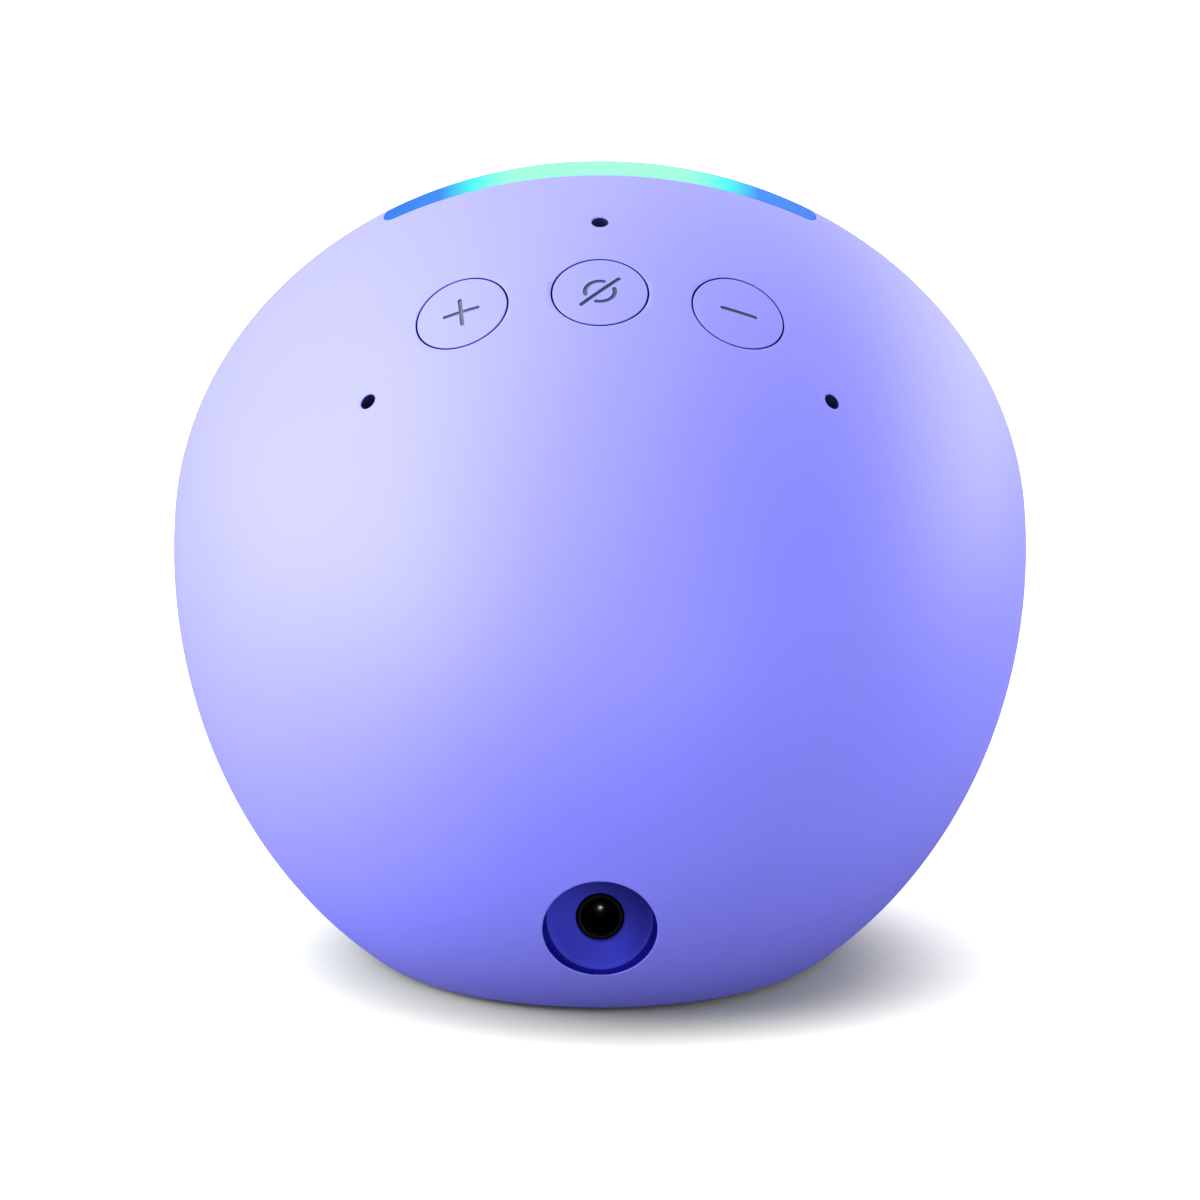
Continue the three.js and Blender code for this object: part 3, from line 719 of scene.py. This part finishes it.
def cloth_material():
    """Yarns streaked by a slow noise and darker by a power of the knit's height, so that the gaps
    are nearly black. The bump is the knit's height with a quarter of fine fibre on it."""
    material, tree, shader = blank_material("Lavender knitted cloth")
    place = add(tree, "ShaderNodeAttribute", attribute_name="weave_place").outputs["Vector"]
    knit = add(tree, "ShaderNodeGroup", node_tree=knit_group())
    tree.links.new(place, knit.inputs["Place"])
    knit.inputs["Pitch"].default_value = 0.7 * MM
    fibre = add(tree, "ShaderNodeTexNoise", {"Vector": place, "Scale": 5000.0, "Detail": 3.0})
    slub = add(tree, "ShaderNodeTexNoise", {"Vector": place, "Scale": 900.0, "Detail": 2.0})
    yarn = color_mix(tree, slub.outputs[0], (0.13, 0.13, 0.62), (0.30, 0.30, 0.95))
    out_of_gap = math_node(tree, "POWER", knit.outputs["Height"], 1.6)
    shown = color_mix(tree, out_of_gap, (0.02, 0.02, 0.12), yarn)
    tree.links.new(shown, shader.inputs["Base Color"])
    relief = math_node(tree, "MULTIPLY_ADD", fibre.outputs[0], 0.25, knit.outputs["Height"])
    bump = add(tree, "ShaderNodeBump", {"Height": relief, "Distance": 0.22 * MM, "Strength": 1.0})
    tree.links.new(bump.outputs["Normal"], shader.inputs["Normal"])
    shader.inputs["Roughness"].default_value = 0.9
    shader.inputs["Sheen Weight"].default_value = 0.25
    shader.inputs["Sheen Roughness"].default_value = 0.5
    return material


cloth.data.materials.clear()
cloth.data.materials.append(cloth_material())
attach(cloth, "housing")
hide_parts("front_fabric")

# ---------------------------------------------------------------------------
# Foot. A black base plate closes the shell, and a soft rubber pad with a rounded lower edge is
# stuck under it over the screws. Both follow the shell's own level outline.
pad_inset = 1.8 * MM
pad_start = 0.4 * MM
pad_round = 0.35 * MM
pad_sunk = 0.02 * MM
plate_inset = shell_wall + 0.3 * MM
plate_start = 0.1 * MM
plate_round = 0.2 * MM
plate_low, plate_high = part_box("base_plate")


def footprint(inset, height, start, steps=60):
    """The level outline of the dome at a height: for each depth behind the rim the half width
    is the root of radius^2 - up^2. The outline's last depth, where the half width is 0, is found
    by halving. Returned as a closed ring of (x, y)."""
    def up_at(back):
        """How far up the rim's own plane the level lies at a depth behind the rim."""
        return (height - rim_centre[2] + back * math.sin(lean)) / math.cos(lean)

    inside, tip = start, dome_depth - inset
    halvings = 40
    for _ in range(halvings):
        middle = (inside + tip) / 2
        if dome_radius(middle, inset) > abs(up_at(middle)):
            inside = middle
        else:
            tip = middle
    back = start + (inside - start) * np.sin(np.linspace(0, np.pi / 2, steps))
    half = np.sqrt(np.maximum(dome_radius(back, inset) ** 2 - up_at(back) ** 2, 0))
    y = rim_centre[1] + back * math.cos(lean) + up_at(back) * math.sin(lean)
    right, left = np.stack([half, y], 1), np.stack([-half, y], 1)[::-1]
    return np.concatenate([right[:-1], left])


def level_rings(levels, start):
    """Outline rings at (inset, z) levels, all worked out at the shell's cut."""
    rings = []
    for inset, z in levels:
        outline = footprint(inset, shell_bottom, start + inset)
        rings.append(np.concatenate([outline, np.full((len(outline), 1), z)], 1))
    return np.array(rings)


pad_levels = [(pad_inset, shell_bottom - pad_sunk)]
pad_levels += [(pad_inset + pad_round - dx, pad_round - dz)
               for dx, dz in arc((0, 0), pad_round, 0, 90, 6)]
pad = closed_piece("foot_pad_visual", level_rings(pad_levels, pad_start))
foot_rubber = plastic("Foot rubber", (0.02, 0.02, 0.025), 0.8, grain=0.4 * MM, bump=0.03 * MM)
pad.data.materials.append(foot_rubber)
plate_levels = [(plate_inset, plate_high.z)]
plate_levels += [(plate_inset + plate_round - dx, plate_low.z + plate_round - dz)
                 for dx, dz in arc((0, 0), plate_round, 0, 90, 4)]
plate = closed_piece("base_plate_visual", level_rings(plate_levels, plate_start))
plate.data.materials.append(plastic("Base plate plastic", (0.015, 0.015, 0.018), 0.5))
for piece, node, slot in ((pad, "foot_pad", "dark_rubber"),
                          (plate, "base_plate", "black_plastic")):
    smooth(piece)
    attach(piece, "housing")
    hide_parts(node)

# ---------------------------------------------------------------------------
# Power socket. A black barrel socket behind the pocket's floor with a round nose in the hole,
# a deep bore, and a plated centre pin with a rounded tip.
jack_low, jack_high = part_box("dc_jack")
pin_low, pin_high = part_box("dc_pin")
nose_radius = 2.55 * MM
bore_radius = 2.1 * MM
bore_end = jack_low.y + 2 * MM
nose_start = jack_low.y + 1 * MM
socket_bevel = 0.15 * MM
block_front = pocket_floor - 2 * MM


def socket_body():
    """A block with a round nose on its front, whose edge is a quarter arc, bored from the front
    by a cutter whose mouth flares by another."""
    nose = [(tiny, nose_start), (nose_radius, nose_start)]
    nose += list(arc((nose_radius - socket_bevel, jack_high.y - socket_bevel), socket_bevel,
                     0, 90, 5))
    nose += [(tiny, jack_high.y)]
    block = box_tool(tuple(jack_low), (jack_high.x, block_front, jack_high.z))
    piece = closed_piece("dc_jack_visual", block)
    combine(piece, closed_piece("nose", turned_rings(socket, nose, 96)), "UNION")
    mouth = bore_radius + socket_bevel
    bore = [(tiny, bore_end), (bore_radius, bore_end)]
    bore += list(arc((mouth, jack_high.y - socket_bevel), socket_bevel, 180, 90, 5))
    bore += [(mouth, jack_high.y + cutter_top), (tiny, jack_high.y + cutter_top)]
    combine(piece, closed_piece("bore", turned_rings(socket, bore, 96)))
    return smooth(piece)


jack = socket_body()
jack.data.materials.clear()
socket_plastic = plastic("Socket plastic", (0.002, 0.002, 0.002), 0.5, grain=0.3 * MM,
                         Specular_IOR_Level=0.08)
jack.data.materials.append(socket_plastic)
pin_radius = (pin_high.x - pin_low.x) / 2
pin_profile = [(tiny, pin_low.y), (pin_radius, pin_low.y)]
pin_profile += list(arc((0, pin_high.y - pin_radius), pin_radius, 0, 88, 10))
pin = closed_piece("dc_pin_visual", turned_rings(socket, pin_profile, 48))
smooth(pin)


def metal_group():
    """Fine drawn lines, a noise squeezed across the drawing direction, and soft tarnish, for
    plated and bare metal."""
    group, given, out = node_group(
        "Drawn metal", [("Place", "NodeSocketVector", None)],
        [("Lines", "NodeSocketFloat"), ("Tarnish", "NodeSocketFloat")])
    stretched = add(group, "ShaderNodeMapping",
                    {"Vector": given["Place"], "Scale": (9000.0, 500.0, 9000.0)})
    lines = add(group, "ShaderNodeTexNoise", {"Vector": stretched.outputs[0], "Scale": 1.0})
    tarnish = add(group, "ShaderNodeTexNoise",
                  {"Vector": given["Place"], "Scale": 220.0, "Detail": 4.0})
    group.links.new(lines.outputs[0], out["Lines"])
    group.links.new(tarnish.outputs[0], out["Tarnish"])
    return group


drawn_metal = metal_group()


def metal(name, color, rough):
    """Metal whose tarnish, from 0 to 1, lightens a darkened colour and roughens the gloss, with
    the drawn lines in the bump."""
    material, tree, shader = blank_material(name)
    surface = add(tree, "ShaderNodeGroup", node_tree=drawn_metal)
    tree.links.new(add(tree, "ShaderNodeTexCoord").outputs["Object"], surface.inputs["Place"])
    tarnish = surface.outputs["Tarnish"]
    darkened = [channel * 0.75 for channel in color]
    tree.links.new(color_mix(tree, tarnish, darkened, color), shader.inputs["Base Color"])
    gloss = math_node(tree, "MULTIPLY_ADD", tarnish, 0.2, rough)
    tree.links.new(gloss, shader.inputs["Roughness"])
    relief = add(tree, "ShaderNodeBump", {"Height": surface.outputs["Lines"],
                                          "Distance": 0.004 * MM, "Strength": 0.5})
    tree.links.new(relief.outputs["Normal"], shader.inputs["Normal"])
    shader.inputs["Metallic"].default_value = 1.0
    return material


plated_steel = metal("Plated steel", (0.55, 0.56, 0.58), 0.3)
pin.data.materials.append(plated_steel)
for piece, node, slot in ((jack, "dc_jack", "black_plastic"), (pin, "dc_pin", "steel")):
    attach(piece, "housing")
    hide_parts(node)

# ---------------------------------------------------------------------------
# Driver's flexible rings. A rolled rubber surround joins the cone to its basket, and a pleated
# amber spider centres the voice coil. Each is made in sectors; in the real driver the outer edge
# stays with the basket while the inner edge moves with the cone.
soft_rubber = plastic("Soft black rubber", (0.02, 0.02, 0.022), 0.8, grain=0.3 * MM)
amber_laminate = plastic("Amber laminate", (0.45, 0.17, 0.02), 0.35, grain=0.5 * MM)
ring_sectors = 12
# Profiles are closed lines of (distance from the axis, depth behind the rim) in millimetres. The
# surround is a half roll between two flat lips, and the spider a cosine wave from the coil to the
# basket. Each row ends with the radii that stay with the basket and that move with the cone.
surround_profile = [(23, 3.7), (23, 4.05), (21.9, 4.05), (21.5, 3.4), (21.2, 2.95), (20.8, 2.78),
                    (20.4, 2.75), (20, 2.88), (19.6, 3.2), (19.3, 3.8), (19.1, 4.6), (18.7, 4.4),
                    (18.9, 3.6), (19.3, 2.9), (19.8, 2.55), (20.4, 2.4), (21, 2.44), (21.5, 2.6),
                    (21.9, 3), (22.2, 3.7)]
spider_back = 12.4
spider_height = 0.45
spider_pleat = 1.5
spider_thickness = 0.35
spider_run = np.linspace(8.7, 14.7, 33)
spider_wave = spider_back - spider_height * np.cos(
    (spider_run - spider_run[0]) / spider_pleat * np.pi)
spider_profile = np.concatenate([
    np.stack([spider_run, spider_wave], 1),
    np.stack([spider_run, spider_wave + spider_thickness], 1)[::-1]])
flexible_rings = [
    ("surround", "driver_surround", "dark_rubber", soft_rubber, surround_profile, 22.0, 19.4),
    ("spider", "driver_spider", "amber_laminate", amber_laminate, spider_profile, 14.2, 9.4),
]


def ring_sector(name, profile, start, stop):
    """The closed profile carried round the axis between two angles:
    rim centre + radius (side sin + up cos) + depth back."""
    turn = np.linspace(start, stop, 9)[:, None]
    spoke = np.sin(turn)[..., None] * side_axis + np.cos(turn)[..., None] * up_axis
    profile = np.asarray(profile, float) * MM
    points = rim_centre + profile[:, :1] * spoke + profile[:, 1:] * back_axis
    return closed_piece(name, points)


for name, node, slot, made_of, profile, held_radius, free_radius in flexible_rings:
    for number in range(ring_sectors):
        begin, end = (2 * math.pi * (number + step) / ring_sectors for step in (0, 1))
        sector = ring_sector(f"{name}_sector_{number + 1}", profile, begin, end)
        smooth(sector, degrees=50)
        sector.data.materials.append(made_of)
        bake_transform(sector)
        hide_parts(node)

# ---------------------------------------------------------------------------
# Inside the speaker. The driver, its chamber, the boards, lights, switches, microphones and
# leads keep their own shapes, and each takes the finish of what it is made of.


def board_material():
    """Solder mask over copper: the plastic's grain and gloss, with a brick pattern for its
    colour, two greens for the fields and a lighter one for the tracks between them."""
    mask_green = (0.012, 0.09, 0.035)
    material = plastic("Green circuit board", mask_green, 0.35, grain=0.25 * MM)
    tree = material.node_tree
    place = add(tree, "ShaderNodeTexCoord").outputs["Object"]
    tracks = add(tree, "ShaderNodeTexBrick",
                 {"Vector": place, "Scale": 260.0, "Color1": (*mask_green, 1),
                  "Color2": (0.016, 0.12, 0.045, 1), "Mortar": (0.03, 0.2, 0.08, 1)})
    tree.links.new(tracks.outputs["Color"], tree.nodes["Principled BSDF"].inputs["Base Color"])
    return material


black_plastic = plastic("Black structural plastic", (0.018, 0.018, 0.02), 0.5)
white_plastic = plastic("White plastic", (0.78, 0.78, 0.72), 0.4)
clear_plastic = plastic("Frosted light guide", (0.8, 0.88, 0.88), 0.25)
circuit_board = board_material()
cone_paper = plastic("Pressed cone paper", (0.02, 0.02, 0.022), 0.9, grain=0.6 * MM,
                     bump=0.06 * MM)
ferrite = plastic("Sintered ferrite", (0.03, 0.03, 0.032), 0.55, grain=0.5 * MM, bump=0.04 * MM)
aluminium = metal("Sheet aluminium", (0.78, 0.79, 0.80), 0.35)
copper = metal("Bare copper", (0.72, 0.34, 0.18), 0.25)
finishes = {
    "black_plastic": black_plastic, "dark_rubber": soft_rubber, "white_plastic": white_plastic,
    "clear_plastic": clear_plastic, "circuit_board": circuit_board,
    "amber_laminate": amber_laminate, "cone_paper": cone_paper, "ferrite": ferrite,
    "aluminium": aluminium, "copper": copper, "steel": plated_steel,
}

for row in frame["record"]["subparts"]:
    node = frame["nodes"][row["node"]]
    if not node.hide_render:
        node.data.materials.clear()
        node.data.materials.append(finishes[row["material_slot"]])

# ---------------------------------------------------------------------------
# Studio. A wide pale floor that glows further out, a white surround, and large soft lights, the
# strong ones from the side of the plus button and softer ones opposite, overhead and before the
# cloth front.
floor_reach = 6.0
floor_mesh = bpy.data.meshes.new("studio_floor")
floor_mesh.from_pydata([(x * floor_reach, y * floor_reach, 0.0)
                        for x, y in ((-1, -1), (1, -1), (1, 1), (-1, 1))], [], [(0, 1, 2, 3)])
floor = bpy.data.objects.new("studio_floor", floor_mesh)
bpy.context.scene.collection.objects.link(floor)
floor_paper, floor_tree, floor_shader = blank_material("Floor paper")
seen_straight = add(floor_tree, "ShaderNodeLightPath").outputs["Is Camera Ray"]
floor_tint = color_mix(floor_tree, seen_straight, (0.2, 0.2, 0.2), (0.47, 0.48, 0.4))
floor_tree.links.new(floor_tint, floor_shader.inputs["Base Color"])
# Straight views also see the floor's own light, which rises with the distance from the speaker.
# Near its foot it rises from nothing over a short reach: a painted contact shadow round the foot,
# and painted light that fills in the cast shadow beyond it. Well beyond its shadow it rises again,
# so that the far floor looks evenly white.
floor_place = add(floor_tree, "ShaderNodeTexCoord").outputs["Object"]
reach = add(floor_tree, "ShaderNodeVectorMath", {0: floor_place}, operation="LENGTH")
painted_contact_shadow_glow = add(floor_tree, "ShaderNodeMapRange",
                {"Value": reach.outputs["Value"], "From Min": 0.025, "From Max": 0.05,
                 "To Max": 0.78}, interpolation_type="SMOOTHSTEP")
far_glow = add(floor_tree, "ShaderNodeMapRange",
               {"Value": reach.outputs["Value"], "From Min": 0.12, "From Max": 0.5,
                "To Max": 0.8}, interpolation_type="SMOOTHSTEP")
glow = math_node(floor_tree, "ADD", painted_contact_shadow_glow.outputs[0], far_glow.outputs[0])
own_light = math_node(floor_tree, "MULTIPLY", seen_straight, glow)
floor_tree.links.new(own_light, floor_shader.inputs["Emission Strength"])
floor_shader.inputs["Emission Color"].default_value = (1, 1, 1, 1)
floor_shader.inputs["Roughness"].default_value = 0.9
floor_shader.inputs["Specular IOR Level"].default_value = 0.0
floor_mesh.materials.append(floor_paper)

world = bpy.data.worlds.new("Surround")
world.use_nodes = True
surround = world.node_tree.nodes["Background"]
surround.inputs["Color"].default_value = (1, 1, 1, 1)
straight_view = add(world.node_tree, "ShaderNodeLightPath").outputs["Is Camera Ray"]
surround_light = 0.1
surround_white = 1.05
strength = math_node(world.node_tree, "MULTIPLY_ADD", straight_view,
                     surround_white - surround_light, surround_light)
world.node_tree.links.new(strength, surround.inputs["Strength"])
bpy.context.scene.world = world

light_aim = Vector((0, 0, 0.04))


def softbox(name, azimuth, elevation, power, size=0.7, distance=1.4):
    """A square area light that faces the speaker from a direction in degrees. Azimuth 0 is
    behind the speaker and 90 is the side of the plus button."""
    turn, rise = math.radians(azimuth), math.radians(elevation)
    away = Vector((math.sin(turn) * math.cos(rise), math.cos(turn) * math.cos(rise),
                   math.sin(rise)))
    light = bpy.data.lights.new(name, "AREA")
    light.shape = "SQUARE"
    light.size = size
    light.energy = power
    lamp = bpy.data.objects.new(name, light)
    lamp.location = light_aim + distance * away
    lamp.rotation_euler = (-away).to_track_quat("-Z", "Y").to_euler()
    lamp.visible_camera = False
    bpy.context.scene.collection.objects.link(lamp)


softbox("high_plus_side", 90, 58, 11.0, size=1.0)
softbox("high_plus_front", 120, 58, 5.0, size=1.0)
softbox("plus_side", 88, 30, 17.5, size=1.1)
softbox("key", 62, 24, 23.0, size=0.9)
softbox("plus_low", 108, 10, 8.5)
softbox("back_fill", 0, 14, 2.5)
softbox("minus_back_fill", -32, 10, 9.5)
softbox("minus_side_fill", -75, 10, 5.5)
softbox("minus_rim", -125, 10, 12.5)
softbox("minus_front_fill", -150, 12, 5.5)
softbox("front_fill", -160, 35, 8.5, size=1.0)
softbox("front_high", 165, 60, 2.0)

camera_back = 0.9523
camera_height = 0.2495
camera_dip = 12.27
camera_data = bpy.data.cameras.new("camera")
camera_data.lens = 257.8
camera_data.sensor_width = 36.0
camera_data.clip_end = 30.0
camera = bpy.data.objects.new("camera", camera_data)
camera.location = (0.0, camera_back, camera_height)
camera.rotation_euler = (math.radians(90 - camera_dip), 0.0, math.pi)
bpy.context.scene.collection.objects.link(camera)
bpy.context.scene.camera = camera
bpy.context.scene.view_settings.view_transform = "Standard"
